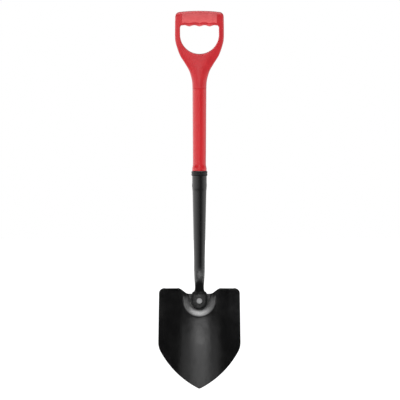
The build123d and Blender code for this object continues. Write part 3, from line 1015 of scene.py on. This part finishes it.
def softbox(name, at, target, size, radiance, matt=True, gloss=True):
    """A rectangular light that the camera doesn't see, for matt or gloss or both."""
    data = bpy.data.lights.new(name, "AREA")
    data.shape = "RECTANGLE"
    data.size, data.size_y = size
    data.energy = radiance * math.pi * size[0] * size[1]
    light = bpy.data.objects.new(name, data)
    light.location = Vector(at) + Vector((0, 0, TIP_Z))
    aim(light, Vector(target) + Vector((0, 0, TIP_Z)))
    light.visible_camera = False
    light.visible_diffuse = matt
    light.visible_glossy = gloss
    bpy.context.scene.collection.objects.link(light)


def add_floor():
    """A wide white floor some way below the hanging shovel's tip."""
    size = 60.0
    mesh = bpy.data.meshes.new("floor")
    z = TIP_Z - FLOOR_DROP
    corners = [(-size, -size, z), (size, -size, z), (size, size, z), (-size, size, z)]
    mesh.from_pydata(corners, [], [(0, 1, 2, 3)])
    floor = bpy.data.objects.new("floor", mesh)
    bpy.context.scene.collection.objects.link(floor)
    m = Nodes("floor_white")
    m.fixed(Base_Color=(0.93, 0.93, 0.93, 1), Roughness=0.9, Specular_IOR_Level=0.1)
    m.fixed(Emission_Color=(1, 1, 1, 1), Emission_Strength=0.8)
    mesh.materials.append(m.material)
    floor.visible_glossy = False


# How bright the room looks in a reflection. It is darkest where the direction's x is DARK_SIDE.
DARK_SIDE = 0.45
WALL_CURVE = 1.7
RIGHT_WALL = 3.6
LEFT_WALL = 0.95
DARKEST_WALL = 0.027
BACK_WALL = 0.4
FAINT_GLOW = 0.015
MATT_LIGHT = 0.45


def add_world():
    """An even white room. Its reflections are darkest in front, a little right, and bright at both sides."""
    world = bpy.data.worlds.new("studio")
    bpy.context.scene.world = world
    world.use_nodes = True
    tree = world.node_tree
    tree.nodes.clear()

    def math_node(kind, a, b=None, c=None):
        made = tree.nodes.new("ShaderNodeMath")
        made.operation = kind
        for socket, value in zip(made.inputs, (a, b, c)):
            if value is None:
                continue
            if isinstance(value, (int, float)):
                socket.default_value = value
            else:
                tree.links.new(value, socket)
        return made.outputs[0]

    def step(value, start, end):
        made = tree.nodes.new("ShaderNodeMapRange")
        made.interpolation_type = "SMOOTHSTEP"
        made.inputs["From Min"].default_value = start
        made.inputs["From Max"].default_value = end
        tree.links.new(value, made.inputs["Value"])
        return made.outputs["Result"]

    coordinates = tree.nodes.new("ShaderNodeTexCoord")
    split = tree.nodes.new("ShaderNodeSeparateXYZ")
    tree.links.new(coordinates.outputs["Generated"], split.inputs[0])
    x, y, z = (split.outputs[k] for k in "XYZ")
    off_level = math_node("SUBTRACT", math_node("ABSOLUTE", z),
                          math_node("MULTIPLY", step(y, -0.2, 0.3), 0.25))
    level = math_node("SUBTRACT", 1.0, step(off_level, 0.12, 0.28))
    from_dark = math_node("SUBTRACT", x, DARK_SIDE)
    right = math_node("POWER", math_node("MAXIMUM", from_dark, 0.0), WALL_CURVE)
    to_left = math_node("MULTIPLY", from_dark, -1.0)
    left = math_node("POWER", math_node("MAXIMUM", to_left, 0.0), WALL_CURVE)
    walls = math_node("ADD", math_node("MULTIPLY", right, RIGHT_WALL),
                      math_node("MULTIPLY", left, LEFT_WALL))
    around = math_node("MULTIPLY", level, math_node("ADD", walls, DARKEST_WALL))
    behind = math_node("MULTIPLY", step(y, 0.2, 0.6), BACK_WALL)
    mirror = math_node("ADD", math_node("ADD", around, behind), FAINT_GLOW)
    paths = tree.nodes.new("ShaderNodeLightPath")
    is_mirror, is_diffuse = paths.outputs["Is Glossy Ray"], paths.outputs["Is Diffuse Ray"]
    indirect = math_node("ADD", math_node("MULTIPLY", is_mirror, mirror),
                         math_node("MULTIPLY", is_diffuse, MATT_LIGHT))
    strength = math_node("ADD", indirect, paths.outputs["Is Camera Ray"])
    background = tree.nodes.new("ShaderNodeBackground")
    background.inputs["Color"].default_value = (1, 1, 1, 1)
    tree.links.new(strength, background.inputs["Strength"])
    output = tree.nodes.new("ShaderNodeOutputWorld")
    tree.links.new(background.outputs[0], output.inputs["Surface"])


add_camera()
add_floor()
add_world()
softbox("front_core", (-0.04, -1.86, 1.62), (0.0, -0.05, 0.2), (0.12, 0.72), 0.5, matt=False)
softbox("front_strip", (-0.04, -1.87, 1.59), (0.0, -0.05, 0.2), (0.26, 0.76), 0.6, matt=False)
softbox("front_band", (-0.04, -1.88, 1.57), (0.0, -0.05, 0.2), (0.46, 0.82), 0.5, matt=False)
softbox("front_low", (-0.03, -2.07, 1.26), (0.0, -0.05, 0.2), (0.30, 0.24), 3.1, matt=False)
softbox("front_wide", (-0.04, -1.90, 1.62), (0.0, -0.05, 0.2), (1.7, 0.9), 0.55, matt=False)
softbox("overhead", (0.0, -0.60, 2.3), (0.0, -0.60, 0.2), (3.0, 1.6), 3.5, matt=False)
softbox("front_fill", (-0.4, -3.0, 1.1), (0.0, 0.0, 0.7), (1.6, 1.6), 3.5, gloss=False)
softbox("back_fill", (-0.8, 1.9, 1.5), (0.0, 0.0, 0.4), (1.2, 1.2), 1.6)

scene = bpy.context.scene
scene.view_settings.view_transform = "Standard"
scene.view_settings.look = "None"
scene.view_settings.exposure = 0.0
scene.view_settings.gamma = 1.0
